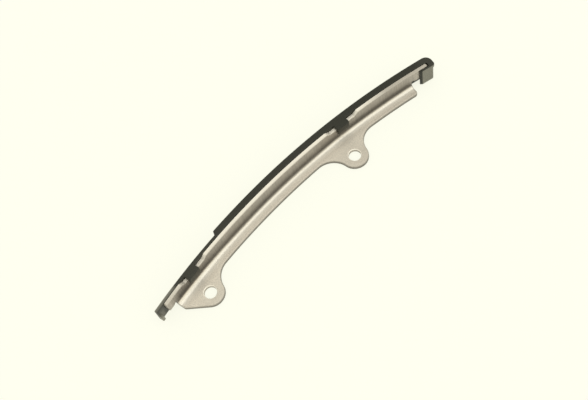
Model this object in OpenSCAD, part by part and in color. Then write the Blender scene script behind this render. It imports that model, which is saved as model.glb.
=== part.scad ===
// Timing chain guide: a pressed steel bracket that carries a moulded chain shoe on its curved wall.
// The origin is midway between the bolt holes on the seating face. +X runs along the bolt line,
// +Y points to the chain and +Z stands up from the seating face. Lengths are in millimetres.
// A place along the guide is an arc length on the wall's chain face, counted from its crown towards +X.

/* [Bolt holes] */
// Distance between the two bolt holes
bolt_spacing = 105; // [98:0.5:112]
// Diameter of the bolt holes, clearance for an M6 bolt
bolt_d = 6.6; // [6.2:0.1:7.4]
// Chamfer on the upper rim of the bolt holes
bolt_rim = 0.4; // [0.2:0.1:0.6]
// Radius of the ears round the bolt holes
ear_r = 7.4; // [6.6:0.1:8.2]
// Radius of the fillets between an ear and the flange
ear_fillet = 11; // [9:0.5:13]

/* [Arc] */
// Radius of the wall's chain face, seen from above
wall_r = 422; // [400:1:450]
// Place of the arc's crown along the bolt line
crown_x = 16; // [12:0.5:20]
// Distance of the crown from the bolt line
crown_y = 17.7; // [16.5:0.1:19]

/* [Bracket] */
// Thickness of the sheet
sheet_t = 2; // [1.6:0.1:2.4]
// Inside radius of the bend between flange and wall
bend_r = 2.2; // [1.6:0.1:2.8]
// Rounding of the wall's free edge
edge_r = 0.4; // [0.2:0.1:0.6]
// Height of the wall above the seating face
wall_h = 12; // [11:0.5:16]
// Length of the wall past the flange's lower end
wall_past_lo = 5.6; // [4.6:0.2:7]
// Length of the wall past the flange's upper end
wall_past_hi = 10.6; // [9:0.2:13]
// Height of the wall's lower edge over the bend, past the flange's ends
edge_rise = 0.6; // [0.2:0.1:1]
// Rounding of the wall's four corners
wall_corner = 0.8; // [0.5:0.1:1.2]
// Width of the flange, from the chain face to its free edge
flange_w = 7.8; // [7:0.1:9]
// Lower end of the flange
flange_lo = -84.8; // [-86:0.2:-83]
// Upper end of the flange
flange_hi = 89.6; // [86:0.2:92]
// Width of the flange at its lower end
tail_w = 6.1; // [5.6:0.1:6.6]
// Rounding of the flange's corners
flange_corner = 1.8; // [1:0.1:2.2]
// Radius of the relief cut where the bend ends
relief_r = 0.9; // [0.6:0.1:1.2]

/* [Clips] */
// Place of the lower clip
clip_lo = -69.5; // [-71:0.5:-68]
// Place of the upper clip
clip_hi = 42.2; // [38:0.5:46]
// Play between a clip and the ends of its notch
notch_play = 0.4; // [0.2:0.1:0.8]
// Free length of the lower notch before its clip
notch_back_lo = 1.7; // [1.2:0.1:2.2]
// Free length of the upper notch before its clip
notch_back_hi = 3.3; // [2.5:0.1:4]
// Free length of both notches past their clips
notch_run = 4.1; // [3:0.1:5]
// Length of the slope at each end of a notch
notch_slope = 2.6; // [2:0.1:3.2]
// Depth of a notch
notch_depth = 1.6; // [1.3:0.1:2.2]
// Length of a clip along the guide
clip_len = 8; // [6:0.5:9]
// Thickness of a clip's leg
clip_t = 1.6; // [1.2:0.1:2]
// Length of a clip's leg, from the shoe's top
clip_drop = 5; // [4:0.1:6]
// Chamfer on the foot of a clip's leg
clip_lead = 0.7; // [0.4:0.1:0.9]

/* [Shoe] */
// Clearance between the shoe and the wall
fit_gap = 0.1; // [0.05:0.05:0.25]
// Thickness of the shoe under the chain
base_t = 1.7; // [1.3:0.1:2.2]
// Height of the rails over the running face
rail_h = 2.1; // [1.4:0.1:2.6]
// Width of a rail
rail_w = 1.9; // [1.4:0.1:2.4]
// Rounding of the rails' crests
rail_r = 0.5; // [0.2:0.1:0.6]
// Place where the rails start
rail_lo = -47.5; // [-53:0.5:-42]
// Length of the slope at the rails' start
rail_slope = 1.2; // [0.6:0.1:2]
// Height of the shoe's lower side above the seating face
shoe_rise = 0.2; // [0.1:0.1:0.8]
// Height of the shoe's upper side over the wall
shoe_proud = 0.2; // [0.1:0.1:0.6]
// Length of the shoe past the wall's lower end
shoe_tail = 5.5; // [4.5:0.1:7]
// Height by which the shoe's lower side steps up towards its lower end
tail_rise = 2; // [1:0.1:2.6]
// Length of the part with the raised lower side
tail_len = 13.5; // [12:0.5:15]
// Thickness of the lip at the shoe's lower end
lip_t = 1.7; // [1.2:0.1:2.2]
// Reach of the lip across the wall's end
lip_reach = 1.3; // [0.8:0.1:1.8]
// Distance of the lip below the shoe's top
lip_drop = 6.4; // [5:0.1:7]

/* [Hook] */
// Clearance at the wall's upper tip
tip_gap = 0.4; // [0.2:0.1:0.6]
// Thickness of the hook past the wall's tip
hook_t = 3.4; // [2.6:0.1:4.2]
// Rounding of the hook on the chain side
hook_round = 4; // [3:0.1:4.6]
// Clearance between the hook's leg and the wall
leg_gap = 0.4; // [0.2:0.1:0.6]
// Thickness of the hook's leg
leg_t = 1.2; // [1:0.1:1.8]
// Rounding between the hook's end and its leg
leg_round = 1.6; // [0.8:0.1:2]
// Length of the hook's leg, back from the wall's tip
leg_len = 5.8; // [5:0.1:7]
// Thickness of the leg at its end
leg_end_t = 0.4; // [0.2:0.1:0.6]
// Length over which the leg thins towards its end
leg_taper = 1.2; // [0.8:0.1:2]

/* [Hidden] */
$fn = 64;
// Facets in a full turn of the long arcs
arc_fn = 1440;
// Overshoot of a cut past a face
over = 1;
// Smallest step where two shapes would otherwise only touch
ledge = 0.05;
arc_c = [crown_x, crown_y - wall_r];
back_r = wall_r - sheet_t;
bend_line_r = back_r - bend_r;
plate_r = bend_line_r - over / 2;
bend_top = sheet_t + bend_r;
wall_lo = flange_lo - wall_past_lo;
wall_hi = flange_hi + wall_past_hi;
wall_foot = bend_top + edge_rise;
flange_r = wall_r - flange_w;
notch_floor = wall_h - notch_depth;
seat_r = wall_r + fit_gap;
track_r = seat_r + base_t;
crest_r = track_r + rail_h;
shoe_lo = wall_lo - shoe_tail;
shoe_top = wall_h + shoe_proud;
shoe_h = shoe_top - shoe_rise;
mid_r = wall_r - sheet_t / 2;
leg_back_r = back_r - leg_gap;
leg_r = leg_back_r - leg_t;
leg_lo = wall_hi - leg_len;
slot_end = wall_hi + tip_gap;
shoe_end = slot_end + hook_t;
ear_lo = [-bolt_spacing / 2, 0];
ear_hi = [bolt_spacing / 2, 0];

// Angle of a place along the guide, from the crown
function turn(s) = s / wall_r * 180 / PI;
// Unit vector from the arc's centre to a place along the guide
function ray(s) = [sin(turn(s)), cos(turn(s))];
// Point at a radius and a place along the guide
function at(r, s) = arc_c + r * ray(s);
// Place along the guide that a point lies at
function place(p) = atan2(p.x - arc_c.x, p.y - arc_c.y) * PI / 180 * wall_r;
function unit(v) = v / norm(v);
function across(v) = [v.y, -v.x];

// Centre of the fillet that touches an ear and the flange's free edge, on the side given by its sign
function fillet_centre(ear, side) =
    let (v = ear - arc_c,
         u = unit(v),
         inner = flange_r - ear_fillet,
         outer = ear_r + ear_fillet,
         along = (inner * inner - outer * outer + v * v) / (2 * norm(v)),
         aside = sqrt(inner * inner - along * along))
    arc_c + along * u + side * aside * across(u);

// Point where a line from p touches an ear, on the ear's outer side
function tangent_point(p, ear) =
    let (v = p - ear,
         u = unit(v),
         along = ear_r * ear_r / norm(v),
         aside = sqrt(ear_r * ear_r - along * along))
    ear + along * u - aside * across(u);

// Profile in radius and height, carried round the arc between two places
module sweep(s0, s1) {
    translate(arc_c)
        rotate(90 - turn(s1))
            rotate_extrude(angle = turn(s1) - turn(s0), $fn = arc_fn)
                children();
}

// Local frame on the chain face: x along the guide, y outwards, z up
module on_wall(s) {
    translate(at(wall_r, s))
        rotate(-turn(s))
            children();
}

// Shape drawn along the guide and up, cut through the wall
module through_wall(s) {
    on_wall(s)
        rotate([90, 0, 0])
            linear_extrude(2 * flange_w, center = true)
                children();
}

// Part of the plan between two places, out to a radius
module plan_wedge(r, s0, s1) {
    reach = 1.1 * r;
    polygon([arc_c, at(reach, s0), at(reach, (s0 + s1) / 2), at(reach, s1)]);
}

// Part of the plan between two radii and two places
module plan_band(r0, r1, s0, s1) {
    intersection() {
        difference() {
            translate(arc_c) circle(r1, $fn = arc_fn);
            translate(arc_c) circle(r0, $fn = arc_fn);
        }
        plan_wedge(r1, s0, s1);
    }
}

// Sharp corner at p between two edge directions, less the round that replaces it
module corner_waste(p, u, v, r) {
    half = acos(u * v) / 2;
    flat = r / tan(half);
    c = p + r / sin(half) * unit(u + v);
    difference() {
        polygon([p - over * (u + v), p + flat * u, c, p + flat * v]);
        translate(c) circle(r + ledge);
    }
}

// Web that fills the corner between an ear and the flange up to its fillet
module ear_web(ear, side) {
    c = fillet_centre(ear, side);
    difference() {
        polygon([ear, c, at(wall_r, place(c)), at(wall_r, place(ear) - side * over)]);
        translate(c) circle(ear_fillet + ledge);
    }
}

// Outline of the flange with its ears, out to the start of the bend's section
module flange_outline() {
    tail_end = at(wall_r - tail_w, flange_lo);
    touch = tangent_point(tail_end, ear_lo);
    end_hi = at(flange_r, flange_hi);
    difference() {
        union() {
            plan_band(flange_r, plate_r, place(ear_lo) - over, flange_hi);
            intersection() {
                union() {
                    ear_web(ear_lo, 1);
                    ear_web(ear_hi, 1);
                    ear_web(ear_hi, -1);
                    polygon([
                        ear_lo,
                        touch,
                        tail_end,
                        at(wall_r, flange_lo),
                        at(wall_r, place(ear_lo) + over)
                    ]);
                }
                translate(arc_c) circle(plate_r, $fn = arc_fn);
            }
            translate(ear_lo) circle(ear_r + ledge);
            translate(ear_hi) circle(ear_r + ledge);
        }
        corner_waste(tail_end, unit(touch - tail_end), ray(flange_lo), flange_corner);
        corner_waste(end_hi, -across(ray(flange_hi)), ray(flange_hi), flange_corner);
    }
}

// Section of the wall, its bend and the start of the flange, with the free edge rounded
module wall_section() {
    difference() {
        translate([bend_line_r - over, 0]) square([over + bend_r + sheet_t, wall_h]);
        difference() {
            translate([bend_line_r - 2 * over, sheet_t]) square([2 * over + bend_r, wall_h]);
            corner_waste([back_r, sheet_t], [-1, 0], [0, 1], bend_r);
        }
        corner_waste([wall_r, 0], [-1, 0], [0, 1], bend_r + sheet_t);
        corner_waste([wall_r, wall_h], [-1, 0], [0, -1], edge_r);
        corner_waste([back_r, wall_h], [1, 0], [0, -1], edge_r);
    }
}

// Points of a quarter round of a corner at p, from the edge along u to the edge along v
function corner_round(p, u, v, r) =
    [for (a = [0:15:90]) p + r * (1 - sin(a)) * u + r * (1 - cos(a)) * v];

// What is cut away at an end of the wall: the bend past the flange, the relief and both corners.
// It is drawn in the through_wall frame of the flange's end, len is how far the wall runs on
module wall_end_waste(len) {
    out = len + 2 * over;
    polygon(concat(
        [[ledge, -over], [ledge, wall_foot + relief_r], [relief_r, wall_foot + relief_r]],
        [[2 * relief_r, wall_foot]],
        corner_round([len, wall_foot], [-1, 0], [0, 1], wall_corner),
        corner_round([len, wall_h], [0, -1], [-1, 0], wall_corner),
        [[len - wall_corner, wall_h + over], [out, wall_h + over], [out, -over]]
    ));
}

// Trapezium cut in the wall's free edge for a clip, with free lengths before and past it and sloping ends
module notch(back, run) {
    near_x = -clip_len / 2 - notch_play - back;
    far_x = clip_len / 2 + notch_play + run;
    lean = notch_slope * (notch_depth + over) / notch_depth;
    top_z = wall_h + over;
    polygon([
        [near_x, notch_floor],
        [far_x, notch_floor],
        [far_x + lean, top_z],
        [near_x - lean, top_z]
    ]);
}

module bolt_hole() {
    translate([0, 0, -over]) cylinder(h = sheet_t + 2 * over, d = bolt_d);
    translate([0, 0, sheet_t - bolt_rim])
        cylinder(h = 2 * bolt_rim, d1 = bolt_d, d2 = bolt_d + 4 * bolt_rim);
}

module guide_bracket() {
    color([0.74, 0.71, 0.66])
        difference() {
            union() {
                sweep(wall_lo - over, wall_hi + over) wall_section();
                linear_extrude(sheet_t) flange_outline();
            }
            through_wall(flange_hi) wall_end_waste(wall_hi - flange_hi);
            through_wall(flange_lo) mirror([1, 0]) wall_end_waste(flange_lo - wall_lo);
            translate(ear_lo) bolt_hole();
            translate(ear_hi) bolt_hole();
            through_wall(clip_lo) notch(notch_back_lo, notch_run);
            through_wall(clip_hi) notch(notch_back_hi, notch_run);
        }
}

// Section of the shoe under the chain, from a radius out to the running face
module base_section(r) {
    translate([r, shoe_rise]) square([track_r - r, shoe_h]);
}

// Section of one rail with its root in the base and its crest rounded
module rail_section() {
    root = base_t / 2;
    translate([track_r - root, 0]) {
        square([root + rail_h - rail_r, rail_w]);
        translate([0, rail_r]) square([root + rail_h, rail_w - 2 * rail_r]);
        for (z = [rail_r, rail_w - rail_r])
            translate([root + rail_h - rail_r, z]) circle(rail_r);
    }
}

// Plan of what is cut off round the hook, and of the slope on the end of its leg
module hook_waste() {
    out = ray(shoe_end);
    corner_waste(at(crest_r, shoe_end), -across(out), -out, hook_round);
    corner_waste(at(leg_r, shoe_end), -across(out), out, leg_round);
    lean = leg_taper / (leg_t - leg_end_t);
    deep_r = leg_r - over;
    polygon([
        at(deep_r, leg_lo - over),
        at(leg_back_r - leg_end_t + over / lean, leg_lo - over),
        at(deep_r, leg_lo + leg_taper + over * lean)
    ]);
}

// What is cut away under the shoe's lower end, in the through_wall frame of the step
module tail_waste() {
    out = -tail_len - over;
    foot_z = shoe_rise - over;
    tail_z = shoe_rise + tail_rise;
    polygon([[over, foot_z], [-tail_rise, tail_z], [out, tail_z], [out, foot_z]]);
}

// Clip in the on_wall frame: a bridge through the notch and a leg down the wall's back
module clip() {
    face_y = -sheet_t - fit_gap;
    back_y = face_y - clip_t;
    foot_z = shoe_top - clip_drop;
    rotate([90, 0, 90])
        linear_extrude(clip_len, center = true)
            polygon([
                [fit_gap + base_t / 2, shoe_top],
                [back_y, shoe_top],
                [back_y, foot_z + clip_lead],
                [back_y + clip_lead, foot_z],
                [face_y, foot_z],
                [face_y, notch_floor + fit_gap],
                [fit_gap + base_t / 2, notch_floor + fit_gap]
            ]);
}

// Section of the lip at the shoe's lower end, with a sloping top
module lip_section() {
    lip_top = shoe_top - lip_drop;
    root = base_t / 2;
    polygon([
        [seat_r + root, shoe_rise],
        [seat_r + root, lip_top + lip_reach + root],
        [seat_r - lip_reach, lip_top],
        [seat_r - lip_reach, shoe_rise]
    ]);
}

// Waste above the slope at the rails' start, in the on_wall frame
module rail_start_waste() {
    foot_y = track_r - wall_r;
    lean = rail_slope / rail_h;
    low_y = foot_y - base_t;
    high_y = foot_y + rail_h + over;
    translate([0, 0, shoe_rise - over])
        linear_extrude(shoe_h + 2 * over)
            polygon([
                [-base_t * lean, low_y],
                [(rail_h + over) * lean, high_y],
                [-4 * over, high_y],
                [-4 * over, low_y]
            ]);
}

// Both rails with their sloping start
module rails() {
    difference() {
        for (z = [shoe_rise, shoe_top - rail_w])
            sweep(rail_lo - 2 * over, shoe_end) translate([0, z]) rail_section();
        on_wall(rail_lo) rail_start_waste();
    }
}

// Shoe without its clips and lip: base, rails and hook, with the slot for the wall
module shoe_channel() {
    difference() {
        union() {
            sweep(shoe_lo, shoe_end) base_section(mid_r);
            sweep(leg_lo, shoe_end) base_section(leg_r);
            rails();
        }
        sweep(shoe_lo - over, slot_end)
            translate([leg_back_r, shoe_rise - over]) square([seat_r - leg_back_r, shoe_h + 2 * over]);
        linear_extrude(shoe_top + over) hook_waste();
    }
}

module chain_shoe() {
    color([0.17, 0.17, 0.15])
        difference() {
            union() {
                shoe_channel();
                for (s = [clip_lo, clip_hi])
                    on_wall(s) clip();
                sweep(shoe_lo + ledge, shoe_lo + lip_t) lip_section();
            }
            through_wall(shoe_lo + tail_len) tail_waste();
        }
}

guide_bracket();
chain_shoe();
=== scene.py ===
"""Looks of a timing chain guide: a pressed steel bracket that carries a moulded nylon chain shoe.

Sizes are in millimetres in the part's own frame and become metres in the meshes. A place along the
guide, s, is an arc length on the wall's chain face counted from its crown, and r is a distance from
the centre of that arc.
"""

import logging
import math
from dataclasses import dataclass, field
from enum import Enum
from typing import Sequence

import bpy
import numpy as np
from mathutils import Matrix, Vector
from mathutils.geometry import delaunay_2d_cdt

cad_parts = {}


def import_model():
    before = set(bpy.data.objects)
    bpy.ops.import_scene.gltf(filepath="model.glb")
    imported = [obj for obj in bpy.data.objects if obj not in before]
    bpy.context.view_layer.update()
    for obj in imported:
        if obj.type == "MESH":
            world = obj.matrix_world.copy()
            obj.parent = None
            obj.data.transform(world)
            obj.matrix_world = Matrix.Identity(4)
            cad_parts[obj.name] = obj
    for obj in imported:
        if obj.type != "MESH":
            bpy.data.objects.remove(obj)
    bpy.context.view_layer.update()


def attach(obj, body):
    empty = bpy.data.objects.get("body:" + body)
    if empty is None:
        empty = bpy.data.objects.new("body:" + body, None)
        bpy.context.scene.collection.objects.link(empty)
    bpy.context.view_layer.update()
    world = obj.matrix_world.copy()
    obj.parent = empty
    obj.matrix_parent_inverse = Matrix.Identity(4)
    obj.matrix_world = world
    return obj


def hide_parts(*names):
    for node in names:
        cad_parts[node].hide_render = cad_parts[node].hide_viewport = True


LOG = logging.getLogger("chain_guide")
MM = 0.001
ROOT_BODY = "root"


class Slot(Enum):
    """Material slots of the part."""

    STEEL = "steel"
    NYLON = "nylon"


class Node(Enum):
    """Solids of the part that the dressed pieces stand for."""

    BRACKET = "guide_bracket"
    SHOE = "chain_shoe"


def round_corners(points: np.ndarray, radii: np.ndarray, segments: int = 8) -> np.ndarray:
    """Round the corners of a closed polygon with arcs.

    Each corner at p with unit edge directions u and v is replaced by the arc that touches both edges:
    its centre is p + r / sin(half) * unit(u + v), where half is half the corner's angle.

    Args:
        points: Corners of the polygon, one row each.
        radii: Radius at each corner, 0 to keep it sharp.
        segments: Number of steps in each arc.

    Returns:
        The rounded closed loop without repeated points.
    """
    u = np.roll(points, 1, axis=0) - points
    v = np.roll(points, -1, axis=0) - points
    u /= np.linalg.norm(u, axis=1, keepdims=True)
    v /= np.linalg.norm(v, axis=1, keepdims=True)
    half = np.arccos(np.clip((u * v).sum(axis=1), -1.0, 1.0)) / 2
    bisector = u + v
    length = np.linalg.norm(bisector, axis=1, keepdims=True)
    straight = length[:, 0] < 1e-6
    bisector = np.where(straight[:, None], 0.0, bisector / np.maximum(length, 1e-9))
    radius = np.where(straight, 0.0, radii)
    centre = points + (radius / np.sin(half))[:, None] * bisector
    flat = radius / np.tan(half)
    start = points + flat[:, None] * u - centre
    stop = points + flat[:, None] * v - centre
    angle = np.arctan2(start[:, 1], start[:, 0])
    turn = np.arctan2(start[:, 0] * stop[:, 1] - start[:, 1] * stop[:, 0], (start * stop).sum(axis=1))
    steps = np.linspace(0.0, 1.0, segments + 1)
    angles = angle[:, None] + turn[:, None] * steps
    arc = np.stack([np.cos(angles), np.sin(angles)], axis=2) * radius[:, None, None]
    loop = (centre[:, None, :] + arc).reshape(-1, 2)
    keep = np.linalg.norm(loop - np.roll(loop, 1, axis=0), axis=1) > 1e-5
    return loop[keep]


def densify(loop: np.ndarray, step: float) -> np.ndarray:
    """Split the long edges of a closed loop into equal parts no longer than a step.

    Args:
        loop: Closed loop of points.
        step: Longest edge that is left.

    Returns:
        The loop with the added points.
    """
    ahead = np.roll(loop, -1, axis=0) - loop
    count = np.maximum(np.ceil(np.linalg.norm(ahead, axis=1) / step).astype(int), 1)
    first = np.repeat(np.cumsum(count) - count, count)
    part = (np.arange(count.sum()) - first) / np.repeat(count, count)
    return np.repeat(loop, count, axis=0) + part[:, None] * np.repeat(ahead, count, axis=0)


def outward(loop: np.ndarray) -> np.ndarray:
    """Unit normals of a counter-clockwise closed loop, square to the chord of both neighbours."""
    chord = np.roll(loop, -1, axis=0) - np.roll(loop, 1, axis=0)
    normal = np.stack([chord[:, 1], -chord[:, 0]], axis=1)
    return normal / np.maximum(np.linalg.norm(normal, axis=1, keepdims=True), 1e-12)


def ring_quads(rows: int, columns: int) -> np.ndarray:
    """Quads of a stack of closed rows, wrapped round its columns.

    Args:
        rows: Number of stacked loops.
        columns: Number of points in a loop.

    Returns:
        Point numbers of the quads, four in a row.
    """
    i, j = np.meshgrid(np.arange(rows - 1), np.arange(columns), indexing="ij")
    k = (j + 1) % columns
    low, high = i * columns, (i + 1) * columns
    return np.stack([low + j, low + k, high + k, high + j], axis=2).reshape(-1, 4)


def fill_loops(loops: Sequence[np.ndarray], inner: np.ndarray) -> tuple[np.ndarray, np.ndarray]:
    """Delaunay triangles inside closed loops that keep the loops as edges.

    Args:
        loops: Closed loops, the outline first.
        inner: Further points inside the outline.

    Returns:
        All points, the loops' first, and the triangles' point numbers.
    """
    points = np.concatenate([*loops, inner])
    sizes = np.array([len(loop) for loop in loops])
    first = np.repeat(np.cumsum(sizes) - sizes, sizes)
    size = np.repeat(sizes, sizes)
    number = np.arange(sizes.sum())
    edges = np.stack([number, first + (number - first + 1) % size], axis=1)
    found = delaunay_2d_cdt([Vector(p) for p in points], edges.tolist(), [], 1, 1e-6)
    origin = np.array([source[0] if source else -1 for source in found[3]])
    triangles = origin[np.array(found[2])]
    return points, triangles[(triangles >= 0).all(axis=1)]


def quarter(steps: int = 4) -> np.ndarray:
    """Angles from 0 to a right angle in equal steps."""
    return np.linspace(0.0, math.pi / 2, steps + 1)


@dataclass
class GuideArc:
    """The arc that the wall and the shoe follow."""

    wall_r: float = 422.0
    crown_x: float = 16.0
    crown_y: float = 17.7

    @property
    def centre(self) -> np.ndarray:
        """Centre of the arc in plan."""
        return np.array([self.crown_x, self.crown_y - self.wall_r])

    def plan(self, s: np.ndarray, r: np.ndarray) -> np.ndarray:
        """Points in plan at places s and radii r: the centre plus r (sin a, cos a), with a = s / wall_r."""
        a = np.asarray(s) / self.wall_r
        return self.centre + np.stack([r * np.sin(a), r * np.cos(a)], axis=-1)

    def place(self, xy: np.ndarray) -> np.ndarray:
        """Place s and radius r of points in plan, the inverse of plan."""
        x, y = np.moveaxis(np.asarray(xy) - self.centre, -1, 0)
        return np.stack([self.wall_r * np.arctan2(x, y), np.hypot(x, y)], axis=-1)


def put_mesh(name: str, points: np.ndarray, faces: Sequence[Sequence[int]]) -> bpy.types.Object:
    """Make a smooth-shaded mesh object at the origin.

    Args:
        name: Name of the piece.
        points: Points in millimetres.
        faces: Point numbers of each face.

    Returns:
        The new object, linked to the scene.
    """
    mesh = bpy.data.meshes.new(name)
    mesh.from_pydata((points * MM).tolist(), [], faces)
    mesh.validate()
    mesh.polygons.foreach_set("use_smooth", np.ones(len(mesh.polygons), dtype=bool))
    mesh.update()
    piece = bpy.data.objects.new(name, mesh)
    bpy.context.scene.collection.objects.link(piece)
    return piece


def put_mark(piece: bpy.types.Object, name: str, values: np.ndarray) -> None:
    """Store one number for each point of a piece, for its material to read.

    Args:
        piece: The piece.
        name: Name of the attribute.
        values: One number for each point.
    """
    mark = piece.data.attributes.new(name, "FLOAT", "POINT")
    mark.data.foreach_set("value", values.astype(np.float32))


@dataclass(frozen=True)
class Notch:
    """Notch in the wall's free edge: its clip's place and its free lengths before and past the clip."""

    place: float
    back: float
    run: float


@dataclass
class Bracket:
    """Pressed steel bracket: a flat blank with ears, folded up into a curved wall.

    The blank is drawn in (s, q), where q is the length across the sheet from the bend's start: q is
    negative on the flange, runs round the bend up to fold_len and goes on up the wall.
    """

    arc: GuideArc = field(default_factory=GuideArc)
    bolt_spacing: float = 105.0
    bolt_d: float = 6.6
    ear_r: float = 7.45
    ear_fillet: float = 11.0
    sheet_t: float = 2.0
    bend_r: float = 2.2
    roll_r: float = 0.6
    burr_r: float = 0.1
    edge_rise: float = 0.6
    wall_h: float = 12.0
    wall_lo: float = -90.4
    wall_hi: float = 100.2
    wall_corner: float = 0.8
    flange_w: float = 7.8
    flange_lo: float = -84.8
    flange_hi: float = 89.6
    tail_w: float = 6.1
    flange_corner: float = 1.8
    relief_r: float = 0.9
    relief_round: float = 0.45
    foot_round: float = 0.9
    notches: tuple[Notch, ...] = (Notch(42.2, 3.3, 4.1), Notch(-69.5, 1.7, 4.1))
    notch_half: float = 4.4
    notch_slope: float = 2.6
    notch_depth: float = 1.6
    notch_top_round: float = 1.4
    notch_floor_round: float = 1.0
    face_tone: float = 0.84
    # The levels below paint light and shade: painted highlights on the wall's free edge and the hole rims,
    # painted shade on the flange's cut edge and in the bolt holes, and a flat level on the wall past the
    # flange.
    edge_tone: float = 1.0
    edge_shine: float = 0.55
    shaded_edge_tone: float = 0.29
    hole_tone: float = 0.62
    hole_rim_tone: float = 1.1
    past_flange_tone: float = 0.69
    far_edge_tone: float = 0.68
    grid_s: float = 1.6
    flange_step: float = 1.4
    wall_step: float = 1.6
    bend_rows: int = 17
    border_gap: float = 0.3
    loop_step: float = 0.7
    arc_step: float = 0.35
    hole_points: int = 72
    weld_step: float = 1e-4

    @property
    def bend_line_r(self) -> float:
        """Radius in plan where the flat flange ends and the bend starts."""
        return self.arc.wall_r - self.sheet_t - self.bend_r

    @property
    def bend_top(self) -> float:
        """Height at which the bend ends and the upright wall starts."""
        return self.sheet_t + self.bend_r

    @property
    def fold_len(self) -> float:
        """Length of the bend along the middle of the sheet."""
        return math.pi / 2 * (self.bend_r + self.sheet_t / 2)

    def up_wall(self, z: float) -> float:
        """Place across the blank of a height on the wall."""
        return self.fold_len + z - self.bend_top

    def bend_angle(self, q: np.ndarray) -> np.ndarray:
        """Angle of the sheet at places across the blank, 0 on the flange and a right angle on the wall."""
        return np.clip(q / self.fold_len, 0.0, 1.0) * math.pi / 2

    def fold(self, blank: np.ndarray, depth: np.ndarray) -> np.ndarray:
        """Fold points of the blank into the pressed sheet.

        With the angle t = q / fold_len of the bend, held between 0 and a right angle, and the distance
        p = bend_r + sheet_t - depth from the bend's axis, a point has the radius
        bend_line_r + min(q, 0) + p sin t and the height bend_top - p cos t + max(q - fold_len, 0).

        Args:
            blank: Points (s, q) of the blank.
            depth: Distance of each point from the outer face, up to sheet_t at the inner face.

        Returns:
            Points in space.
        """
        s, q = blank[..., 0], blank[..., 1]
        t = self.bend_angle(q)
        p = self.bend_r + self.sheet_t - depth
        r = self.bend_line_r + np.minimum(q, 0.0) + p * np.sin(t)
        z = self.bend_top - p * np.cos(t) + np.maximum(q - self.fold_len, 0.0)
        return np.concatenate([self.arc.plan(s, r), z[..., None]], axis=-1)

    def fold_axes(self, blank: np.ndarray) -> tuple[np.ndarray, np.ndarray, np.ndarray]:
        """Unit vectors along s, along q and into the inner face at points of the blank.

        Args:
            blank: Points (s, q) of the blank.

        Returns:
            The three unit vectors at each point.
        """
        a = blank[..., 0] / self.arc.wall_r
        t = self.bend_angle(blank[..., 1])
        zero = np.zeros_like(a)
        along = np.stack([np.cos(a), -np.sin(a), zero], axis=-1)
        radial = np.stack([np.sin(a), np.cos(a), zero], axis=-1)
        up = np.stack([zero, zero, np.ones_like(a)], axis=-1)
        sin_t, cos_t = np.sin(t)[..., None], np.cos(t)[..., None]
        return along, cos_t * radial + sin_t * up, cos_t * up - sin_t * radial

    def to_blank(self, xy: np.ndarray) -> np.ndarray:
        """Blank coordinates of points in plan on the flange."""
        sr = self.arc.place(xy)
        return np.stack([sr[..., 0], sr[..., 1] - self.bend_line_r], axis=-1)

    def fillet_centre(self, ear: np.ndarray, side: float) -> np.ndarray:
        """Centre of the circle that touches an ear and the flange's free edge from outside.

        Args:
            ear: Centre of the ear in plan.
            side: 1 for the side towards +s, -1 for the other.

        Returns:
            The centre in plan.
        """
        v = ear - self.arc.centre
        inner = self.arc.wall_r - self.flange_w - self.ear_fillet
        outer = self.ear_r + self.ear_fillet
        reach = np.linalg.norm(v)
        along = (inner**2 - outer**2 + reach**2) / (2 * reach)
        aside = math.sqrt(inner**2 - along**2)
        u = v / reach
        return self.arc.centre + along * u + side * aside * np.array([u[1], -u[0]])

    def arc_points(
        self, centre: np.ndarray, radius: float, start: np.ndarray, stop: np.ndarray, turn: float
    ) -> np.ndarray:
        """Blank points along an arc in plan.

        Args:
            centre: Centre of the arc.
            radius: Radius of the arc.
            start: Point that the arc starts towards.
            stop: Point that the arc ends towards.
            turn: 1 for counter-clockwise, -1 for clockwise.

        Returns:
            Points (s, q) along the arc.
        """
        a0 = math.atan2(start[1] - centre[1], start[0] - centre[0])
        a1 = math.atan2(stop[1] - centre[1], stop[0] - centre[0])
        sweep = (turn * (a1 - a0)) % (2 * math.pi)
        angles = a0 + turn * np.linspace(0.0, sweep, max(int(sweep * radius / self.arc_step), 6))
        return self.to_blank(centre + radius * np.stack([np.cos(angles), np.sin(angles)], axis=1))

    def ears(self) -> tuple[np.ndarray, np.ndarray]:
        """Centres of the lower and the upper ear in plan."""
        return np.array([-self.bolt_spacing / 2, 0.0]), np.array([self.bolt_spacing / 2, 0.0])

    def edge_of_flange(self) -> np.ndarray:
        """Free edge of the flange from its lower corner to the upper ear's far fillet, as blank points.

        It runs from the tail's corner straight to where it touches the lower ear, round that ear, and
        through fillets along the free edge to the upper ear and round it.

        Returns:
            Points (s, q), the tail's corner first.
        """
        low, high = self.ears()
        tail = self.arc.plan(np.array(self.flange_lo), np.array(self.arc.wall_r - self.tail_w))
        v = tail - low
        reach = np.linalg.norm(v)
        u = v / reach
        along = self.ear_r**2 / reach
        aside = math.sqrt(self.ear_r**2 - along**2)
        touch = low + along * u - aside * np.array([u[1], -u[0]])
        tail_line = tail + np.linspace(0.0, 1.0, 12)[:, None] * (touch - tail)
        low_side = self.fillet_centre(low, 1.0)
        high_near = self.fillet_centre(high, -1.0)
        high_far = self.fillet_centre(high, 1.0)
        centre = self.arc.centre
        away = 2 * low_side - centre
        parts = [
            self.to_blank(tail_line)[:-1],
            self.arc_points(low, self.ear_r, touch, low_side, 1.0),
            self.arc_points(low_side, self.ear_fillet, low, away, -1.0)[1:],
            self.arc_points(high_near, self.ear_fillet, 2 * high_near - centre, high, -1.0),
            self.arc_points(high, self.ear_r, high_near, high_far, 1.0)[1:],
            self.arc_points(high_far, self.ear_fillet, high, 2 * high_far - centre, -1.0)[1:],
        ]
        return np.concatenate(parts)

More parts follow.
